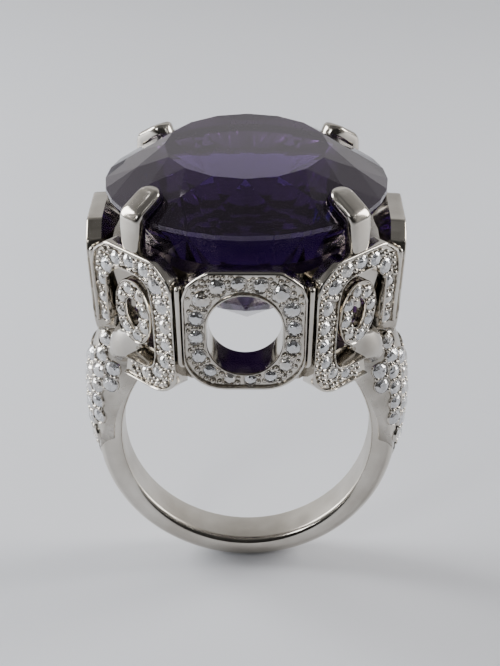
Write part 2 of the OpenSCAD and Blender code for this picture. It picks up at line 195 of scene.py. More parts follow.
def whiteGold(name, roughLow, roughHigh, mark=0.05, tone="warm"):
    material, nodes, links, shader, coords = newMaterial(name)
    shader.inputs["Metallic"].default_value = 1
    cloud = addNoise(nodes, links, coords, gold["cloudScale"], 4)
    colour = addRamp(nodes, links, cloud, [(0.35, gold[tone]), (0.65, gold["bright"])])
    links.new(colour, shader.inputs["Base Color"])
    rub = addNoise(nodes, links, coords, gold["rubScale"], 5, (1, 0.35, 1))
    links.new(addRange(nodes, links, rub, roughLow, roughHigh), shader.inputs["Roughness"])
    scratch = addNoise(nodes, links, coords, gold["scratchScale"], 4, (1, 0.12, 1.6))
    addBump(nodes, links, shader, scratch, mark, gold["scratchDepth"])
    return material


polishedGold = whiteGold("polishedWhiteGold", 0.07, 0.16)
castGold = whiteGold("castWhiteGold", 0.16, 0.32, 0.12, "toned")
pavedGold = whiteGold("pavedWhiteGold", 0.18, 0.36, 0.2, "toned")


def bandGold():
    # polished outside, rubbed matt where it turns on the finger
    material = whiteGold("bandWhiteGold", 0.08, 0.17)
    nodes, links = material.node_tree.nodes, material.node_tree.links
    shader = next(n for n in nodes if n.type == "BSDF_PRINCIPLED")
    coords = next(n for n in nodes if n.type == "TEX_COORD").outputs["Object"]
    flat = nodes.new("ShaderNodeVectorMath")
    flat.operation = "MULTIPLY"
    flat.inputs[1].default_value = (1, 0, 1)
    links.new(coords, flat.inputs[0])
    length = nodes.new("ShaderNodeVectorMath")
    length.operation = "LENGTH"
    links.new(flat.outputs["Vector"], length.inputs[0])
    inside = nodes.new("ShaderNodeMapRange")
    for label, number in (("From Min", (fingerR + 0.02) * mm), ("From Max", (fingerR + 0.16) * mm),
                          ("To Min", gold["rubInside"]), ("To Max", 0.0)):
        inside.inputs[label].default_value = number
    links.new(length.outputs["Value"], inside.inputs["Value"])
    total = nodes.new("ShaderNodeMath")
    rough = shader.inputs["Roughness"].links[0].from_socket
    links.new(rough, total.inputs[0])
    links.new(inside.outputs["Result"], total.inputs[1])
    links.new(total.outputs[0], shader.inputs["Roughness"])
    return material


brilliant = dict(bend=2.42, sendBack=0.4, tintScale=420, cutScale=3400, cutMark=0.45, cutDepth=0.00006,
                 cold=(0.96, 0.97, 1.0), clear=(1, 1, 1), champagne=(1.0, 0.93, 0.84))


def diamondMaterial():
    material, nodes, links, shader, coords = newMaterial("diamond")
    shader.inputs["Roughness"].default_value = 0.0
    shader.inputs["IOR"].default_value = brilliant["bend"]
    shader.inputs["Transmission Weight"].default_value = 1.0
    shader.inputs["Metallic"].default_value = brilliant["sendBack"]  # the light a cut gem sends back
    tint = addNoise(nodes, links, coords, brilliant["tintScale"], 2)
    stops = [(0.4, brilliant["cold"]), (0.55, brilliant["clear"]), (0.68, brilliant["champagne"])]
    links.new(addRamp(nodes, links, tint, stops), shader.inputs["Base Color"])
    cut = nodes.new("ShaderNodeTexVoronoi")
    cut.inputs["Scale"].default_value = brilliant["cutScale"]
    links.new(coords, cut.inputs["Vector"])
    addBump(nodes, links, shader, cut.outputs["Distance"], brilliant["cutMark"], brilliant["cutDepth"])
    return material


violetLook = dict(bend=1.55, rough=0.015, clear=0.97, shine=(0.92, 0.80, 1.0), zoneScale=85,
                  dark=(0.54, 0.40, 0.62), pale=(0.64, 0.50, 0.70), depth=(0.44, 0.28, 0.60), density=420)


def amethystMaterial():
    material, nodes, links, shader, coords = newMaterial("amethyst")
    shader.inputs["Roughness"].default_value = violetLook["rough"]
    shader.inputs["IOR"].default_value = violetLook["bend"]
    shader.inputs["Transmission Weight"].default_value = violetLook["clear"]  # the rest is the haze of wear
    shader.inputs["Specular Tint"].default_value = (*violetLook["shine"], 1)
    zones = addNoise(nodes, links, coords, violetLook["zoneScale"], 2, (1, 0.4, 1))
    colour = addRamp(nodes, links, zones, [(0.38, violetLook["dark"]), (0.62, violetLook["pale"])])
    links.new(colour, shader.inputs["Base Color"])
    absorb = nodes.new("ShaderNodeVolumeAbsorption")
    absorb.inputs["Color"].default_value = (*violetLook["depth"], 1)
    absorb.inputs["Density"].default_value = violetLook["density"]
    output = next(n for n in nodes if n.type == "OUTPUT_MATERIAL")
    links.new(absorb.outputs["Volume"], output.inputs["Volume"])
    return material


wornGold = bandGold()
diamond = diamondMaterial()
violet = amethystMaterial()
print("materials made")


def addPiece(name, points, faces, material, nodes=(), smooth=35):
    mesh = bpy.data.meshes.new(name)
    mesh.from_pydata([tuple(p * mm) for p in np.asarray(points, float)], [], faces)
    shape = bmesh.new()
    shape.from_mesh(mesh)
    bmesh.ops.remove_doubles(shape, verts=shape.verts, dist=0.002 * mm)
    bmesh.ops.recalc_face_normals(shape, faces=shape.faces)
    shape.to_mesh(mesh)
    shape.free()
    return addMesh(name, mesh, material, nodes, smooth)


def addMesh(name, mesh, material, nodes=(), smooth=35):
    piece = bpy.data.objects.new(name, mesh)
    bpy.context.scene.collection.objects.link(piece)
    mesh.materials.clear()
    mesh.materials.append(material)
    for face in mesh.polygons:
        face.use_smooth = smooth > 0
    if smooth:
        mesh.set_sharp_from_angle(angle=math.radians(smooth))
    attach(piece, "root")
    if nodes:
        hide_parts(*nodes)
    return piece


def gridFaces(rows, columns, closeRows, closeColumns):
    faces = []
    for i in range(rows if closeRows else rows - 1):
        for j in range(columns if closeColumns else columns - 1):
            a, b = i * columns + j, i * columns + (j + 1) % columns
            c, d = (i + 1) % rows * columns + (j + 1) % columns, (i + 1) % rows * columns + j
            faces.append((a, b, c, d))
    return faces


def tubeFaces(rows, columns):
    # a tube with a face at each end
    last = (rows - 1) * columns
    ends = [tuple(range(columns)), tuple(last + j for j in range(columns))]
    return gridFaces(rows, columns, False, True) + ends


def superellipse(angle, a, b, power):
    c, s = abs(math.cos(angle)), abs(math.sin(angle))
    return ((c / a) ** power + (s / b) ** power) ** (-1 / power)


def arcPoints(x, y, r, start, end, count=8):
    return [(x + r * math.cos(math.radians(start + (end - start) * i / count)),
             y + r * math.sin(math.radians(start + (end - start) * i / count))) for i in range(count + 1)]


def rayOut(points, angle):
    # how far a ray from the middle runs before it leaves a closed outline
    d = np.array([math.cos(angle), math.sin(angle)])
    best = 0.0
    for i in range(len(points)):
        p, q = np.array(points[i]), np.array(points[(i + 1) % len(points)])
        e = q - p
        cross = d[0] * e[1] - d[1] * e[0]
        if abs(cross) < 1e-9:
            continue
        t = (p[0] * e[1] - p[1] * e[0]) / cross
        s = (p[0] * d[1] - p[1] * d[0]) / cross
        if t > 0 and -1e-9 <= s <= 1 + 1e-9:
            best = max(best, t)
    return best


def newTree(name, inputs):
    tree = bpy.data.node_groups.new(name, "GeometryNodeTree")
    tree.interface.new_socket("Geometry", in_out="INPUT", socket_type="NodeSocketGeometry")
    for label, kind in inputs:
        tree.interface.new_socket(label, in_out="INPUT", socket_type=kind)
    tree.interface.new_socket("Geometry", in_out="OUTPUT", socket_type="NodeSocketGeometry")
    return tree, tree.nodes.new("NodeGroupInput"), tree.nodes.new("NodeGroupOutput")


def scatterTree():
    # copies one shape to every point, along the point's own axis and at its own size
    tree, given, result = newTree("scatterOnPoints", [
        ("Shape", "NodeSocketObject"), ("Tilt", "NodeSocketFloat"), ("Seed", "NodeSocketInt"),
        ("Material", "NodeSocketMaterial")])
    nodes, links = tree.nodes, tree.links
    axis = nodes.new("GeometryNodeInputNamedAttribute")
    axis.data_type = "FLOAT_VECTOR"
    axis.inputs["Name"].default_value = "axis"
    size = nodes.new("GeometryNodeInputNamedAttribute")
    size.data_type = "FLOAT"
    size.inputs["Name"].default_value = "size"
    shape = nodes.new("GeometryNodeObjectInfo")
    links.new(given.outputs["Shape"], shape.inputs["Object"])
    align = nodes.new("FunctionNodeAlignRotationToVector")
    align.axis = "Z"
    links.new(axis.outputs["Attribute"], align.inputs["Vector"])
    low = nodes.new("ShaderNodeMath")
    low.operation = "MULTIPLY"
    low.inputs[1].default_value = -1
    links.new(given.outputs["Tilt"], low.inputs[0])
    lowest, highest = nodes.new("ShaderNodeCombineXYZ"), nodes.new("ShaderNodeCombineXYZ")
    highest.inputs["Z"].default_value = turn
    for corner, value in ((lowest, low.outputs[0]), (highest, given.outputs["Tilt"])):
        links.new(value, corner.inputs["X"])
        links.new(value, corner.inputs["Y"])
    chance = nodes.new("FunctionNodeRandomValue")
    chance.data_type = "FLOAT_VECTOR"
    links.new(lowest.outputs[0], chance.inputs["Min"])
    links.new(highest.outputs[0], chance.inputs["Max"])
    links.new(given.outputs["Seed"], chance.inputs["Seed"])
    spin = nodes.new("FunctionNodeEulerToRotation")
    links.new(chance.outputs["Value"], spin.inputs["Euler"])
    rotate = nodes.new("FunctionNodeRotateRotation")
    rotate.rotation_space = "LOCAL"
    links.new(align.outputs["Rotation"], rotate.inputs["Rotation"])
    links.new(spin.outputs["Rotation"], rotate.inputs["Rotate By"])
    copies = nodes.new("GeometryNodeInstanceOnPoints")
    links.new(given.outputs["Geometry"], copies.inputs["Points"])
    links.new(shape.outputs["Geometry"], copies.inputs["Instance"])
    links.new(rotate.outputs["Rotation"], copies.inputs["Rotation"])
    links.new(size.outputs["Attribute"], copies.inputs["Scale"])
    real = nodes.new("GeometryNodeRealizeInstances")
    paint = nodes.new("GeometryNodeSetMaterial")
    links.new(copies.outputs["Instances"], real.inputs["Geometry"])
    links.new(real.outputs["Geometry"], paint.inputs["Geometry"])
    links.new(given.outputs["Material"], paint.inputs["Material"])
    links.new(paint.outputs["Geometry"], result.inputs["Geometry"])
    return tree


def sweepTree():
    # bends a profile round part of a circle
    tree, given, result = newTree("sweepRound", [
        ("Profile", "NodeSocketObject"), ("Radius", "NodeSocketFloat"), ("Start", "NodeSocketFloat"),
        ("Sweep", "NodeSocketFloat"), ("Steps", "NodeSocketInt"), ("Material", "NodeSocketMaterial")])
    nodes, links = tree.nodes, tree.links
    path = nodes.new("GeometryNodeCurveArc")
    path.mode = "RADIUS"
    links.new(given.outputs["Steps"], path.inputs["Resolution"])
    links.new(given.outputs["Radius"], path.inputs["Radius"])
    links.new(given.outputs["Start"], path.inputs["Start Angle"])
    links.new(given.outputs["Sweep"], path.inputs["Sweep Angle"])
    profile = nodes.new("GeometryNodeObjectInfo")
    links.new(given.outputs["Profile"], profile.inputs["Object"])
    tube = nodes.new("GeometryNodeCurveToMesh")
    tube.inputs["Fill Caps"].default_value = True
    links.new(path.outputs["Curve"], tube.inputs["Curve"])
    links.new(profile.outputs["Geometry"], tube.inputs["Profile Curve"])
    real = nodes.new("GeometryNodeRealizeInstances")
    paint = nodes.new("GeometryNodeSetMaterial")
    links.new(tube.outputs["Mesh"], real.inputs["Geometry"])
    links.new(real.outputs["Geometry"], paint.inputs["Geometry"])
    links.new(given.outputs["Material"], paint.inputs["Material"])
    links.new(paint.outputs["Geometry"], result.inputs["Geometry"])
    return tree


def grow(name, start, tree, values):
    # runs a tree on a start mesh and returns the result as a plain mesh
    worker = bpy.data.objects.new(name + "Worker", start)
    bpy.context.scene.collection.objects.link(worker)
    modifier = worker.modifiers.new("nodes", "NODES")
    modifier.node_group = tree
    for item in tree.interface.items_tree:
        if item.in_out == "INPUT" and item.name in values:
            modifier[item.identifier] = values[item.name]
    bpy.context.view_layer.update()
    grown = worker.evaluated_get(bpy.context.evaluated_depsgraph_get())
    mesh = bpy.data.meshes.new_from_object(grown)
    mesh.name = name
    worker.modifiers.remove(modifier)
    bpy.data.objects.remove(worker)
    return mesh


scatter = scatterTree()
sweep = sweepTree()


def pointMesh(name, stones):
    # a point for each centre, with the axis and the radius as its attributes
    mesh = bpy.data.meshes.new(name)
    mesh.from_pydata([tuple(p * mm) for p, a, r in stones], [], [])
    axis = mesh.attributes.new("axis", "FLOAT_VECTOR", "POINT")
    axis.data.foreach_set("vector", np.asarray([a for p, a, r in stones], np.float32).ravel())
    size = mesh.attributes.new("size", "FLOAT", "POINT")
    size.data.foreach_set("value", np.asarray([r * mm for p, a, r in stones], np.float32))
    return mesh


def template(name, points, faces):
    mesh = bpy.data.meshes.new(name)
    mesh.from_pydata([tuple(p) for p in points], [], faces)
    shape = bmesh.new()
    shape.from_mesh(mesh)
    bmesh.ops.recalc_face_normals(shape, faces=shape.faces)
    shape.to_mesh(mesh)
    shape.free()
    holder = bpy.data.objects.new(name, mesh)
    return holder


def ringOf(count, r, z, shift=0.0):
    return [(r * math.cos((i + shift) * turn / count), r * math.sin((i + shift) * turn / count), z)
            for i in range(count)]


def brilliantCut(n, tableR, tableZ, beltR, girdleHigh, girdleLow, bellyR, bellyZ, culetZ,
                 keel=None, long=1.0):
    # n-fold brilliant of girdle radius 1: table, stars, kites, halves, girdle, pavilion
    onCrown = beltR * math.cos(turn / n / 2)
    beltZ = tableZ + (onCrown - tableR) * (girdleHigh - tableZ) / (1 - tableR)
    points = [(x, y * long, z) for x, y, z in ringOf(n, tableR, tableZ)]
    points += [(x, y * (1 + long) / 2, z) for x, y, z in ringOf(n, beltR, beltZ, 0.5)]
    points += ringOf(2 * n, 1, girdleHigh) + ringOf(2 * n, 1, girdleLow) + ringOf(n, bellyR, bellyZ, 0.5)
    t, b, g, h, p = 0, n, 2 * n, 4 * n, 6 * n
    faces = [tuple(range(n))]
    for i in range(n):
        j, last = (i + 1) % n, (i - 1) % n
        faces.append((t + i, b + i, t + j))
        faces.append((t + i, b + last, g + 2 * i, b + i))
        faces.append((b + i, g + 2 * i, g + 2 * i + 1))
        faces.append((b + i, g + 2 * i + 1, g + 2 * j))
        faces.append((g + 2 * i, h + 2 * i, h + 2 * i + 1, g + 2 * i + 1))
        faces.append((g + 2 * i + 1, h + 2 * i + 1, h + 2 * j, g + 2 * j))
        faces.append((p + i, h + 2 * i + 1, h + 2 * i))
        faces.append((p + i, h + 2 * j, h + 2 * i + 1))
    low = len(points)
    if keel:
        points += ringOf(n, keel[0], keel[1])
        points.append((0, 0, culetZ))
        for i in range(n):
            j, last = (i + 1) % n, (i - 1) % n
            faces.append((h + 2 * i, p + i, low + i))
            faces.append((h + 2 * i, low + i, p + last))
            faces.append((p + i, low + j, low + i))
            faces.append((low + i, low + j, low + n))
    else:
        points.append((0, 0, culetZ))
        for i in range(n):
            faces.append((h + 2 * i, p + i, low, p + (i - 1) % n))
    return np.array(points), faces


def amethystPiece():
    r = girdleR
    high, low = girdleZ + stone["girdleH"], girdleZ
    keel = (stone["keelR"], (stoneLow[2] + stone["keelZ"] * pavilionH) / r)
    points, faces = brilliantCut(
        stone["facets"], stone["tableR"] / r, stoneHigh[2] / r, stone["beltR"] / r, high / r, low / r,
        stone["bellyR"], (stoneLow[2] + stone["bellyZ"] * pavilionH) / r, stoneLow[2] / r,
        keel, stone["tableLong"] / stone["tableR"])
    addPiece("amethystGem", points * r, faces, violet, ["amethyst"], smooth=0)


def smallBrilliant():
    cut = dict(n=8, tableR=0.46, tableZ=0.36, beltR=0.76, girdleHigh=0.03, girdleLow=-0.04,
               bellyR=0.46, bellyZ=-0.47, culetZ=-0.86)
    return template("smallBrilliant", *brilliantCut(**cut))


def goldGrain():
    # a half bead on a pointed root, of radius 1
    points, rows, sides = [], 4, 8
    for i in range(rows):
        a = i / rows * math.pi / 2
        points += ringOf(sides, math.cos(a), math.sin(a))
    points += [(0, 0, 1), (0, 0, -0.6)]
    faces = gridFaces(rows, sides, False, True)
    top = rows * sides
    for j in range(sides):
        faces.append((top - sides + j, top - sides + (j + 1) % sides, top))
        faces.append((j, (j + 1) % sides, top + 1))
    return template("goldGrain", points, faces)


def brightCut():
    # the bevelled metal collar round one stone, of radius 1
    sides = 16
    rings = [(1.02, -0.3), (1.0, 0.06), (1.05, 0.13), (1.13, 0.1), (1.2, -0.3)]
    points = [p for r, z in rings for p in ringOf(sides, r, z)]
    return template("brightCut", points, gridFaces(len(rings), sides, True, True))


def seatCutter():
    # what a setter's bur takes out for a stone of radius 1
    sides = 16
    points = [(0, 0, -1.0)] + ringOf(sides, 1.05, -0.03) + ringOf(sides, 1.05, 0.9) + [(0, 0, 0.9)]
    faces = gridFaces(2, sides, False, True)
    faces = [tuple(i + 1 for i in face) for face in faces]
    for j in range(sides):
        k = (j + 1) % sides
        faces += [(0, k + 1, j + 1), (sides + j + 1, sides + k + 1, 2 * sides + 1)]
    return template("seatCutter", points, faces)


def cutSeats(piece, stones, smooth=38):
    # sinks a seat into a finished piece for each stone
    cutters = grow("seats", pointMesh("seats", stones), scatter,
                   {"Shape": seatBur, "Tilt": 0.0, "Seed": 1, "Material": pavedGold})
    tool = bpy.data.objects.new("seats", cutters)
    bpy.context.scene.collection.objects.link(tool)
    cut = piece.modifiers.new("seats", "BOOLEAN")
    cut.operation = "DIFFERENCE"
    cut.solver = "MANIFOLD"
    cut.object = tool
    bpy.context.view_layer.update()
    mesh = bpy.data.meshes.new_from_object(piece.evaluated_get(bpy.context.evaluated_depsgraph_get()))
    piece.modifiers.remove(cut)
    old = piece.data
    piece.data = mesh
    mesh.name = old.name
    bpy.data.meshes.remove(old)
    bpy.data.objects.remove(tool)
    mesh.set_sharp_from_angle(angle=math.radians(smooth))
    print("  seats cut in", piece.name, len(mesh.polygons), "faces")


def stonesOf(node):
    # centre, outward axis and radius of each turned stone in a frame node
    mesh = frame["nodes"][node].data
    shape = bmesh.new()
    shape.from_mesh(mesh)
    bmesh.ops.remove_doubles(shape, verts=shape.verts, dist=0.002 * mm)
    shape.verts.ensure_lookup_table()
    seen, found = set(), []
    for start in shape.verts:
        if start.index in seen:
            continue
        island, queue = [], [start]
        seen.add(start.index)
        while queue:
            v = queue.pop()
            island.append(v)
            for edge in v.link_edges:
                other = edge.other_vert(v)
                if other.index not in seen:
                    seen.add(other.index)
                    queue.append(other)
        co = np.array([v.co for v in island]) / mm
        middle = co.mean(0)
        axis = np.linalg.eigh(np.cov((co - middle).T))[1][:, 0]
        high = (co - middle) @ axis
        wide = np.linalg.norm(co - middle - np.outer(high, axis), axis=1)
        r = wide.max()
        level = high[wide > 0.97 * r].mean()
        if high.max() - level > level - high.min():
            axis, level = -axis, -level
        found.append((middle + axis * level, axis, r))
    shape.free()
    return found


paving = dict(tilt=0.15, grainR=0.2, midR=0.14, reach=1.62 / 1.06, apart=0.2, clear=0.96)
smallStone, grain, collar, seatBur = smallBrilliant(), goldGrain(), brightCut(), seatCutter()


def grainsBetween(stones):
    # gold grains in the gap between every two neighbours: one each side and one between
    grains = []
    for i, (p, a, r) in enumerate(stones):
        for q, b, s in stones[i + 1:]:
            gap = np.linalg.norm(q - p)
            if gap > paving["reach"] * (r + s) or gap < 0.4:
                continue
            axis = (a + b) / np.linalg.norm(a + b)
            across = np.cross(axis, (q - p) / gap)
            middle = (p + q) / 2
            rise = ((r + s) / 2 + 0.06) ** 2 - (gap / 2) ** 2
            offset = math.sqrt(max(0.02, rise)) + paving["grainR"] * 0.5
            for side in (-1, 1):
                grains.append((middle + across * side * offset, axis, paving["grainR"]))
            grains.append((middle, axis, paving["midR"]))
    kept = []
    for p, a, size in grains:
        if all(np.linalg.norm(p - q) > paving["apart"] for q, b, other in kept):
            if all(np.linalg.norm(p - c) > r * paving["clear"] for c, b, r in stones):
                kept.append((p, a, size))
    return kept


def paveGroup(name, node, seed):
    stones = stonesOf(node)
    gems = grow(name, pointMesh(name, stones), scatter,
                {"Shape": smallStone, "Tilt": paving["tilt"], "Seed": seed, "Material": diamond})
    addMesh(name, gems, diamond, [node], smooth=0)
    beads = grow(name + "Grains", pointMesh(name + "Grains", grainsBetween(stones)), scatter,
                 {"Shape": grain, "Tilt": 0.0, "Seed": seed, "Material": polishedGold})
    rims = grow(name + "Collars", pointMesh(name + "Collars", stones), scatter,
                {"Shape": collar, "Tilt": 0.0, "Seed": seed, "Material": polishedGold})
    if len(beads.vertices):
        addMesh(name + "Grains", beads, polishedGold)
    addMesh(name + "Collars", rims, polishedGold, smooth=50)


band = dict(climb=55, soften=0.42, shoulder=0.62, round=0.85, cornerSteps=8, domeSteps=32, steps=180)


def bandPiece():
    thick, half = bandOut - fingerR, bandW / 2
    soft, side = band["soften"], band["shoulder"]
    outline = [(0.0, -half + soft), (0.0, half - soft)]
    for i in range(1, band["cornerSteps"]):
        a = i * turn / 4 / band["cornerSteps"]
        outline.append((side * (1 - math.cos(a)), half - soft * (1 - math.sin(a))))
    corner = outline[2:]
    for i in range(band["domeSteps"] + 1):
        a = i / band["domeSteps"] * math.pi
        c, rise = math.cos(a), math.sin(a) ** band["round"]
        outline.append((side + (thick - side) * rise, half * math.copysign(abs(c) ** band["round"], c)))
    outline += [(out, -across) for out, across in reversed(corner)]
    curve = bpy.data.curves.new("bandProfile", "CURVE")
    curve.dimensions = "2D"
    spline = curve.splines.new("POLY")
    spline.points.add(len(outline) - 1)
    for point, (out, across) in zip(spline.points, outline):
        point.co = (out * mm, across * mm, 0, 1)
    spline.use_cyclic_u = True
    profile = bpy.data.objects.new("bandProfile", curve)
    mesh = grow("bandRing", bpy.data.meshes.new("bandStart"), sweep, {
        "Profile": profile, "Radius": fingerR * mm, "Start": math.radians(180 - band["climb"]),
        "Sweep": math.radians(180 + 2 * band["climb"]), "Steps": band["steps"], "Material": wornGold})
    co = np.zeros(len(mesh.vertices) * 3)
    mesh.vertices.foreach_get("co", co)
    co = co.reshape(-1, 3)
    radius = np.hypot(co[:, 0], co[:, 1])
    out = radius - fingerR * mm
    if out.min() < -0.1 * mm:  # the sweep put the outside of the profile inwards
        scale = (fingerR * mm - out) / radius
        co[:, 0] *= scale
        co[:, 1] *= scale
    mesh.vertices.foreach_set("co", np.column_stack([co[:, 0], -co[:, 2], co[:, 1]]).ravel())
    shape = bmesh.new()
    shape.from_mesh(mesh)
    bmesh.ops.recalc_face_normals(shape, faces=shape.faces)
    shape.to_mesh(mesh)
    shape.free()
    addMesh("bandRing", mesh, wornGold, ["shank"], smooth=40)


bandPiece()
print("band made")


shoulder = dict(r=3.0, bend=15.05, axisZ=3.2, capR=2.65, leafZ=5.0, bare=0.5, blend=6, far=99,
                rows=96, columns=44)


def shoulderPiece(name, node, side):
    r, bend = shoulder["r"], shoulder["bend"]
    axisX = shoulderOut - bend - r
    capX, capZ = shoulderOut - 0.1 - shoulder["capR"], railZ - shoulder["capR"]
    leafLen = shoulder["leafZ"] - shoulderTip
    leafR = (leafLen ** 2 + r ** 2) / (2 * r)
    innerR = fingerR + shoulder["bare"]
    blend, far = shoulder["blend"], shoulder["far"]

    def leafHalf(z):
        return math.sqrt(max(0, leafR ** 2 - (z - shoulder["leafZ"]) ** 2)) - leafR + r

    def capReach(angle):
        # distance along the ray at which it leaves the rounded top
        d = np.array([math.cos(angle), math.sin(angle)])
        offset = np.array([axisX - capX, shoulder["axisZ"] - capZ])
        b, c = offset @ d, offset @ offset - shoulder["capR"] ** 2
        root = b * b - c
        circle = -b + math.sqrt(root) if root > 0 else 0
        flat = (railZ - shoulder["axisZ"]) / d[1] if d[1] > 0.02 else far
        if axisX + circle * d[0] < capX and d[1] > 0.02:
            return flat
        if shoulder["axisZ"] + circle * d[1] < capZ and root > 0:
            return far
        return min(circle if root > 0 else far, flat)

    def innerReach(angle):
        d = np.array([math.cos(angle), math.sin(angle)])
        offset = np.array([axisX, shoulder["axisZ"]])
        b, c = offset @ d, offset @ offset - innerR ** 2
        return -b + math.sqrt(max(0, b * b - c))

    first = math.asin((shoulderTip - shoulder["axisZ"] + 0.02) / (bend + r))
    last = math.atan2(railZ - shoulder["axisZ"], capX - 3.0 - axisX)
    points = []
    rows, columns = shoulder["rows"], shoulder["columns"]
    for i in range(rows):
        angle = first + (last - first) * (i / (rows - 1))
        d = np.array([math.cos(angle), math.sin(angle)])
        inner, cap = innerReach(angle), capReach(angle)
        z = shoulder["axisZ"] + (bend + r) * d[1]
        half = max(0.02, min(leafHalf(z), 0.995 * r))
        loop = []
        for j in range(columns):
            across = math.sin((j / (columns - 1) - 0.5) * math.pi) * half
            dome = bend + math.sqrt(r * r - across * across)
            reach = -math.log(math.exp(-dome * blend) + math.exp(-min(cap, 60) * blend)) / blend
            loop.append((max(reach, inner + 0.02), across))
        side1, side2 = loop[0], loop[-1]
        loop = [(inner, -half + 0.06), (inner + (side1[0] - inner) * 0.1, -half)] + loop
        loop += [(inner + (side2[0] - inner) * 0.1, half), (inner, half - 0.06)]
        for reach, across in loop:
            x, z = axisX + reach * d[0], shoulder["axisZ"] + reach * d[1]
            points.append((side * x, across, z))
    piece = addPiece(name, points, tubeFaces(rows, len(loop)), pavedGold, [node], smooth=45)
    cutSeats(piece, stonesOf(node.replace("shoulder", "shoulder_diamonds")), 45)


shoulderPiece("shoulderRight", "shoulder_right", 1)
shoulderPiece("shoulderLeft", "shoulder_left", -1)
print("shoulders made")


panel = dict(window=4.6, windowExtra=0.9, cornerW=4.3, cornerH=6.4, cornerPower=4.5, cornerShift=0.35,
             centre=0.472, rimOut=0.22, rimIn=0.13, sink=0.22, soft=0.08, lowR=2.6, points=176,
             gap=(-76, -24), lipDrop=1.7, bead=0.2, beadRays=170, beadRings=8, beadApart=1.75)
panelW = 2 * footR(0) * math.tan(step / 2) - basket["groove"] / math.cos(step / 2) + 0.35


def cushion(w, h):
    r = panel["lowR"]
    corner = [(0, 2), (0.14, 1.45), (0.35, 0.95), (0.9, 0.48), (1.6, 0.03), (2.1, 0)]  # in, and down
    right = arcPoints(w / 2 - r, r, r, 270, 360) + [(w / 2 - x, h - y) for x, y in corner]
    return right + [(-x, y) for x, y in reversed(right)]


def windowMid(k):
    if k % 2:
        return shoulderSign(k) * panel["cornerShift"], (panelH - basket["cornerDrop"]) / 2
    return 0.0, panel["centre"] * panelH


def windowReach(k, angle):
    if k % 2:
        return superellipse(angle, panel["cornerW"] / 2, panel["cornerH"] / 2, panel["cornerPower"])
    w, extra = panel["window"] / 2, panel["windowExtra"] / 2
    c, s = abs(math.cos(angle)), abs(math.sin(angle))
    if c > 1e-6 and w * s / c <= extra:
        return w / c
    return extra * s + math.sqrt(max(0, w * w - (extra * c) ** 2))


def framePiece(name, nodes, place, inner, outer, stations, gap=None):
    # a frame round a window, broken where there is a gap: a station is (which edge, offset from it, depth)
    count = panel["points"]
    if gap:
        start, end = gap
        angles = [end + (turn - (end - start)) * i / (count - 1) for i in range(count)]
    else:
        angles = [turn * i / count for i in range(count)]
    points = []
    for angle in angles:
        d = np.array([math.cos(angle), math.sin(angle)])
        a, b = inner(angle), outer(angle)
        for edge, offset, depth in stations:
            reach = (a if edge == 0 else b) + offset
            xy = d * reach
            points.append(place(xy[0], depth, xy[1], edge == 1))
    faces = tubeFaces(count, len(stations)) if gap else gridFaces(count, len(stations), True, True)
    return addPiece(name, points, faces, polishedGold, nodes, smooth=38)


def beadField(k, name, stones, inner, outer, place, gap):
    # gold beads raised over the sunk field wherever no stone sits
    draw = random.Random(70 + k)
    axis = onPanel(k, 0, -1, 0) - onPanel(k, 0, 0, 0)
    room, beads, margin = panel["bead"] + 0.04, [], 0.12
    for i in range(panel["beadRays"]):
        angle = turn * i / panel["beadRays"]
        if gap and gap[0] - margin < angle - (turn if angle > gap[1] + 0.5 else 0) < gap[1] + margin:
            continue
        low, high = inner(angle) + panel["rimIn"] + room, outer(angle) - panel["rimOut"] - room
        for j in range(panel["beadRings"] + 1):
            reach = low + (high - low) * (j / panel["beadRings"] + draw.uniform(-0.04, 0.04))
            p = place(math.cos(angle) * reach, panel["sink"], math.sin(angle) * reach, False)
            size = panel["bead"] * draw.uniform(0.75, 1.15)
            if high > low and all(np.linalg.norm(p - c) > r + size * 0.55 for c, a, r in stones):
                if all(np.linalg.norm(p - q) > panel["beadApart"] * panel["bead"] for q, b, other in beads):
                    beads.append((p, axis, size))
    mesh = grow(name + "Beads", pointMesh(name + "Beads", beads), scatter,
                {"Shape": grain, "Tilt": 0.2, "Seed": 70 + k, "Material": polishedGold})
    addMesh(name + "Beads", mesh, polishedGold)


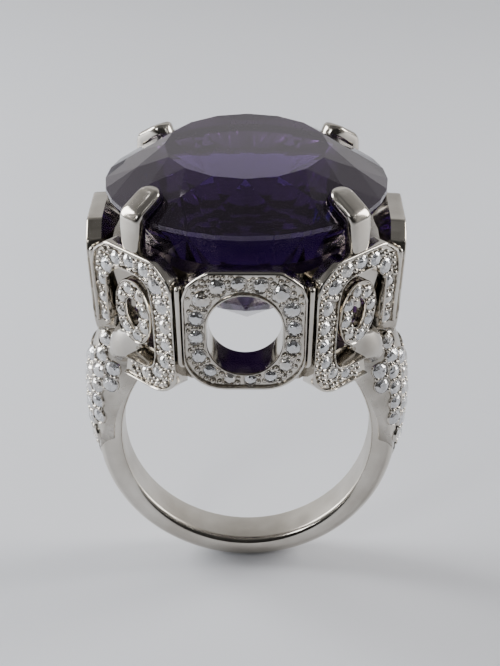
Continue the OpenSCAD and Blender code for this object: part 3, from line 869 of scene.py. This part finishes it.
def medallionPiece(k):
    foot = -basket["cornerDrop"] if k % 2 else 0.0
    midX, midV = windowMid(k)
    outline = [(x - midX, y + foot - midV) for x, y in cushion(panelW, panelH - foot)]

    def place(x, depth, v, onEdge):
        height, x = v + midV, x + midX
        if onEdge and height > panelH - panel["lipDrop"]:
            depth = min(depth, basket["lip"])
        if onEdge and height < basket["railH"]:
            depth = min(depth, footR(k) - footR(0) + basket["railIn"])
        if onEdge:
            room = (footR(k) + height * math.sin(lean) - depth * math.cos(lean)) * math.tan(step / 2)
            room -= basket["groove"] / 2 / math.cos(step / 2)
            x = max(-room, min(room, x))
        p = onPanel(k, x, depth, height)
        r, need = math.hypot(p[0], p[1]), pavilionR(p[2]) + stone["gap"]
        if r < need:
            p[:2] *= need / r
        r = math.hypot(p[0], p[2])
        if r < railZ and abs(p[0]) < railZ:
            p[2] = math.sqrt(railZ ** 2 - p[0] ** 2)
        return p

    s, rimOut, rimIn, soft = panel["sink"], panel["rimOut"], panel["rimIn"], panel["soft"]
    depth = basket["depth"]
    stations = [(0, 0, depth), (0, 0, depth * 0.7), (0, 0, depth * 0.4), (0, 0, 0.16), (0, 0.01, 0.07),
                (0, 0.04, 0.015), (0, 0.075, 0), (0, 0.11, 0.01), (0, rimIn, 0.06), (0, rimIn + 0.02, s),
                (1, -rimOut - 0.02, s), (1, -rimOut, 0.07), (1, -rimOut + 0.05, 0.005), (1, -0.16, -0.01),
                (1, -soft, 0.01), (1, -0.02, 0.06), (1, 0, 0.15)]
    stations += [(1, 0, 0.15 + (depth - 0.15) * (i + 1) / 8) for i in range(8)]
    gap = None
    if k % 2:
        low, high = (math.radians(side) for side in panel["gap"])
        gap = (low, high) if shoulderSign(k) > 0 else (math.pi - high, math.pi - low)
    name = pieceName("medallion", panelNames[k])
    edges = (lambda a: windowReach(k, a), lambda a: rayOut(outline, a))
    piece = framePiece(name, ["medallion_" + panelNames[k]], place, *edges, stations, gap)
    stones = stonesOf("diamonds_" + panelNames[k])
    cutSeats(piece, stones)
    beadField(k, name, stones, *edges, place, gap)


for k in panelNames:
    medallionPiece(k)
print("medallions made")

halo = dict(half=(1.7, 2.3), hole=(0.62, 1.0), front=0.5, thick=0.7, shift=0.3)


def haloPiece(k):
    midX, midV = windowMid(k)
    midX += shoulderSign(k) * halo["shift"]

    def place(x, depth, v, onEdge):
        return onPanel(k, x + midX, halo["front"] + depth, v + midV)

    t = halo["thick"]
    stations = [(0, 0, t), (0, 0, 0.08), (0, 0.03, 0.02), (0, 0.08, 0.0), (0, 0.12, 0.05),
                (1, -0.16, 0.05), (1, -0.11, 0.0), (1, -0.05, 0.01), (1, 0, 0.09), (1, 0, t)]
    edges = (lambda a: superellipse(a, *halo["hole"], 2), lambda a: superellipse(a, *halo["half"], 2))
    piece = framePiece(pieceName("halo", cornerNames[k]), ["halo_" + cornerNames[k]], place, *edges, stations)
    cutSeats(piece, stonesOf("halo_diamonds_" + cornerNames[k]))


scroll = dict(path=[(0.2, 1.15), (1.4, 1.2), (2.4, 0.65), (3.3, -0.25), (4.1, -1.1)],
              half=[0.45, 1.0, 1.2, 1.15, 1.0], depths=[1.5, 1.35, 1.2, 1.25, 1.5],
              thick=0.45, steps=44, sides=28)


def smoothPath(points, count):
    # Catmull-Rom line through given points
    points = np.array(points, float)
    padded = np.vstack([2 * points[0] - points[1], points, 2 * points[-1] - points[-2]])
    line = []
    for i in range(count):
        t = i / (count - 1) * (len(points) - 1)
        j = min(int(t), len(points) - 2)
        f = t - j
        a, b, c, d = padded[j:j + 4]
        square, cube = 2 * a - 5 * b + 4 * c - d, 3 * b - a - 3 * c + d
        line.append(0.5 * (2 * b + (c - a) * f + square * f ** 2 + cube * f ** 3))
    return np.array(line)


def scrollPiece(k):
    guide = [(x, y, h, d) for (x, y), h, d in zip(scroll["path"], scroll["half"], scroll["depths"])]
    line = smoothPath(guide, scroll["steps"])
    sides, points = scroll["sides"], []
    for i, (x, v, half, depth) in enumerate(line):
        ahead = line[min(i + 1, len(line) - 1)][:2] - line[max(i - 1, 0)][:2]
        ahead /= np.linalg.norm(ahead)
        across = np.array([-ahead[1], ahead[0]])
        for j in range(sides):
            a = j / sides * turn
            w, d = math.cos(a), math.sin(a)
            w, d = math.copysign(abs(w) ** 0.75, w), math.copysign(abs(d) ** 0.8, d)
            xy = np.array([x, v]) + across * half * w
            sunk = depth + scroll["thick"] * (d + 0.9 * w * w)
            points.append(onPanel(k, shoulderSign(k) * xy[0], sunk, xy[1]))
    addPiece(pieceName("scroll", cornerNames[k]), points, tubeFaces(len(line), sides), polishedGold,
             ["scroll_" + cornerNames[k]], smooth=60)


for k in cornerNames:
    haloPiece(k)
    scrollPiece(k)
print("halos and scrolls made")

divider = dict(out=0.1, neck=0.95, back=1.7, edge=0.12,
               places=["front_right", "right_front", "right_back", "back_right",
                       "back_left", "left_back", "left_front", "front_left"])


def dividerPiece(i, where):
    low, high = boxOf("divider_" + where)
    angle = (i + 0.5) * step
    reach = footR(0) / math.cos(step / 2)
    groove, bar = basket["groove"] / 2, basket["bar"] / 2
    out, neck, back = reach - divider["out"], reach - divider["neck"], reach - divider["back"]
    section = [(-groove, back), (-groove, neck), (-bar, neck + 0.08), (-bar, out - divider["edge"]),
               (-bar * 0.6, out - 0.02), (0, out)]
    section += [(-x, r) for x, r in reversed(section[:-1])]
    levels = [(low[2], 0.25), (low[2] + 0.12, 0.08), (low[2] + 0.35, 0),
              (high[2] - 0.3, 0), (high[2] - 0.1, 0.06), (high[2], 0.2)]
    points = []
    for z, shrink in levels:
        flare = (z - railZ) * math.tan(lean)
        for x, r in section:
            points.append((*turned(x, -(r + flare - shrink * (r > neck)), angle), z))
    addPiece(pieceName("divider", where), points, tubeFaces(len(levels), len(section)), polishedGold,
             ["divider_" + where], smooth=50)


for i, where in enumerate(divider["places"]):
    dividerPiece(i, where)
print("dividers made")

claw = dict(width=1.75, thick=0.95, reach=1.6, foot=0.33, square=0.55, sides=32,
            shares=[0.2, 0.4, 0.55, 0.68, 0.78, 0.86, 0.92, 0.96, 0.985, 1.0])


def clawPiece(k):
    slope = math.atan2(stone["crownH"], girdleR - stone["tableR"])
    t = claw["thick"]
    r0 = girdleR + 0.03 + t / 2
    heelZ = girdleZ + stone["girdleH"] + 0.02
    bottom = panelTop - claw["foot"]
    path = [(r0 - 0.1, bottom), (r0 - 0.02, bottom + 0.4), (r0 + 0.03, bottom + 0.9)]
    path += [(r0 + 0.03, heelZ - 0.5), (r0, heelZ - 0.15)]
    path += arcPoints(girdleR + 0.03, heelZ, t / 2, 0, 90 - math.degrees(slope), 8)
    tip = np.array(path[-1])
    back = np.array([-math.cos(slope), math.sin(slope)])
    path += [tuple(tip + back * (claw["reach"] + t / 2) * share) for share in claw["shares"]]
    path = np.array(path)
    dist = np.concatenate([[0], np.cumsum(np.linalg.norm(np.diff(path, axis=0), axis=1))])
    total, half = dist[-1], claw["width"] / 2
    points, sides = [], claw["sides"]
    for i, (r, z) in enumerate(path):
        ahead = path[min(i + 1, len(path) - 1)] - path[max(i - 1, 0)]
        ahead /= np.linalg.norm(ahead)
        normal = np.array([ahead[1], -ahead[0]])
        left = max(0.0, half - (total - dist[i]))
        wide = half * math.sqrt(max(0.02, 1 - (left / half) ** 2))
        wide *= 0.8 + 0.2 * min(1, dist[i] / 1.6)
        thick = t / 2 * (1 if left == 0 else 0.55 + 0.45 * math.sqrt(max(0.0, 1 - (left / half) ** 2)))
        sink = t / 2 - thick
        for j in range(sides):
            a = j / sides * turn
            c, s = math.cos(a), math.sin(a)
            c, s = math.copysign(abs(c) ** claw["square"], c), math.copysign(abs(s) ** claw["square"], s)
            rz = np.array([r, z]) + normal * (s * thick - sink)
            points.append((*turned(c * wide, -rz[0], k * step), rz[1]))
    addPiece(pieceName("claw", cornerNames[k]), points, tubeFaces(len(path), sides), polishedGold,
             ["claw_" + cornerNames[k]], smooth=55)


for k in cornerNames:
    clawPiece(k)
print("claws made")

amethystPiece()
for k, where in panelNames.items():
    paveGroup(pieceName("diamonds", where), "diamonds_" + where, 10 + k)
for k, where in cornerNames.items():
    paveGroup(pieceName("haloDiamonds", where), "halo_diamonds_" + where, 30 + k)
for i, where in enumerate(["left", "right"]):
    paveGroup(pieceName("shoulderDiamonds", where), "shoulder_diamonds_" + where, 50 + i)
for node in ("base_rail", "bearing_ring"):
    mesh = frame["nodes"][node].data
    mesh.materials.clear()
    mesh.materials.append(castGold)
print("gems set")


ground = dict(wide=1.5, cloudScale=14, dark=(0.76, 0.785, 0.84), pale=(0.79, 0.81, 0.86), rough=0.6)


def floorMaterial():
    material, nodes, links, shader, coords = newMaterial("paleFloor")
    cloud = addNoise(nodes, links, coords, ground["cloudScale"], 3)
    colour = addRamp(nodes, links, cloud, [(0.3, ground["dark"]), (0.7, ground["pale"])])
    links.new(colour, shader.inputs["Base Color"])
    shader.inputs["Roughness"].default_value = ground["rough"]
    return material


floorMesh = bpy.data.meshes.new("floor")
wide, floorZ = ground["wide"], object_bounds()[0][2]
corners = [(-wide, -wide, floorZ), (wide, -wide, floorZ), (wide, wide, floorZ), (-wide, wide, floorZ)]
floorMesh.from_pydata(corners, [], [(0, 1, 2, 3)])
floorMesh.materials.append(floorMaterial())
floor = bpy.data.objects.new("floor", floorMesh)
bpy.context.scene.collection.objects.link(floor)


def softLight(name, where, aim, size, power, colour=(1, 1, 1)):
    lamp = bpy.data.lights.new(name, "AREA")
    lamp.shape = "RECTANGLE"
    lamp.size, lamp.size_y = size[0] * mm, size[1] * mm
    lamp.energy = power
    lamp.color = colour
    holder = bpy.data.objects.new(name, lamp)
    bpy.context.scene.collection.objects.link(holder)
    holder.location = Vector(where) * mm
    holder.rotation_euler = (Vector(aim) * mm - holder.location).to_track_quat("-Z", "Y").to_euler()


softLight("leftWindow", (-210, 70, 95), (0, 0, 8), (120, 170), 0.8)
softLight("rightWindow", (200, 50, 85), (0, 0, 8), (80, 130), 0.42, (1, 0.97, 0.94))
softLight("frontLeft", (-120, -150, 130), (0, 0, 10), (40, 60), 0.07)

sky = dict(zenith=0.2, back=0.8, side=0.5, front=0.04, ground=0.5, strength=1.0, tint=(1.0, 0.99, 0.985),
           patchScale=2.6, patchDark=0.72, patchPale=1.18, lampScale=5.0, lampSize=0.17, lampGlow=9.0)


def skyLight():
    # a room seen in the metal: bright behind, dim overhead, dark where the viewer stands
    world = bpy.data.worlds.new("studio")
    bpy.context.scene.world = world
    world.use_nodes = True
    nodes, links = world.node_tree.nodes, world.node_tree.links
    background = next(n for n in nodes if n.type == "BACKGROUND")
    coords = nodes.new("ShaderNodeTexCoord").outputs["Generated"]
    split = nodes.new("ShaderNodeSeparateXYZ")
    links.new(coords, split.inputs[0])

    def spread(value, low, high, first, last):
        part = nodes.new("ShaderNodeMapRange")
        part.interpolation_type = "SMOOTHSTEP"
        for label, number in (("From Min", low), ("From Max", high), ("To Min", first), ("To Max", last)):
            part.inputs[label].default_value = number
        links.new(value, part.inputs["Value"])
        return part.outputs["Result"]

    def combine(kind, first, second):
        node = nodes.new("ShaderNodeMath")
        node.operation = kind
        for socket, value in zip(node.inputs, (first, second)):
            if isinstance(value, float):
                socket.default_value = value
            else:
                links.new(value, socket)
        return node.outputs[0]

    frontToSide = spread(split.outputs["Y"], -0.85, -0.05, sky["front"], sky["side"])
    sideToBack = spread(split.outputs["Y"], 0.0, 0.8, 0.0, sky["back"] - sky["side"])
    around = combine("ADD", frontToSide, sideToBack)
    high = spread(split.outputs["Z"], 0.55, 0.93, 0.0, 1.0)
    dimmed = combine("ADD", combine("MULTIPLY", around, combine("SUBTRACT", 1.0, high)),
                     combine("MULTIPLY", high, sky["zenith"]))
    low = spread(split.outputs["Z"], -0.12, 0.02, sky["ground"], 1.0)
    patches = addNoise(nodes, links, coords, sky["patchScale"], 2)
    cloudy = spread(patches, 0.35, 0.65, sky["patchDark"], sky["patchPale"])
    level = combine("MULTIPLY", combine("MULTIPLY", dimmed, low), cloudy)
    lamps = nodes.new("ShaderNodeTexVoronoi")  # small lamps to left and right, for the gems' sparkle
    lamps.inputs["Scale"].default_value = sky["lampScale"]
    links.new(coords, lamps.inputs["Vector"])
    spots = spread(lamps.outputs["Distance"], sky["lampSize"] * 0.6, sky["lampSize"], sky["lampGlow"], 0.0)
    aside = spread(combine("ABSOLUTE", split.outputs["X"], 0.0), 0.34, 0.46, 0.0, 1.0)
    above = spread(split.outputs["Z"], 0.12, 0.22, 0.0, 1.0)
    level = combine("ADD", level, combine("MULTIPLY", combine("MULTIPLY", spots, aside), above))
    mix = nodes.new("ShaderNodeMix")
    mix.data_type = "RGBA"
    mix.blend_type = "MULTIPLY"
    mix.inputs["Factor"].default_value = 1
    colours = [socket for socket in mix.inputs if socket.type == "RGBA"]
    links.new(level, colours[0])
    colours[1].default_value = (*sky["tint"], 1)
    links.new(next(socket for socket in mix.outputs if socket.type == "RGBA"), background.inputs["Color"])
    background.inputs["Strength"].default_value = sky["strength"]


skyLight()

view = dict(distance=97.5, height=7.55, shift=0.22, azimuth=0.6, elevation=28.3, lens=77.2)
az, el = math.radians(view["azimuth"]), math.radians(view["elevation"])
aim = Vector((view["shift"], 0, view["height"]))
towards = Vector((math.sin(az) * math.cos(el), -math.cos(az) * math.cos(el), math.sin(el)))
eye = aim + towards * view["distance"]
cameraData = bpy.data.cameras.new("camera")
cameraData.lens = view["lens"]
cameraData.sensor_width = 36
cameraData.clip_start = 0.005
cameraData.clip_end = 10
camera = bpy.data.objects.new("camera", cameraData)
bpy.context.scene.collection.objects.link(camera)
camera.location = eye * mm
camera.rotation_euler = (aim - eye).to_track_quat("-Z", "Y").to_euler()
bpy.context.scene.camera = camera
print("studio ready")
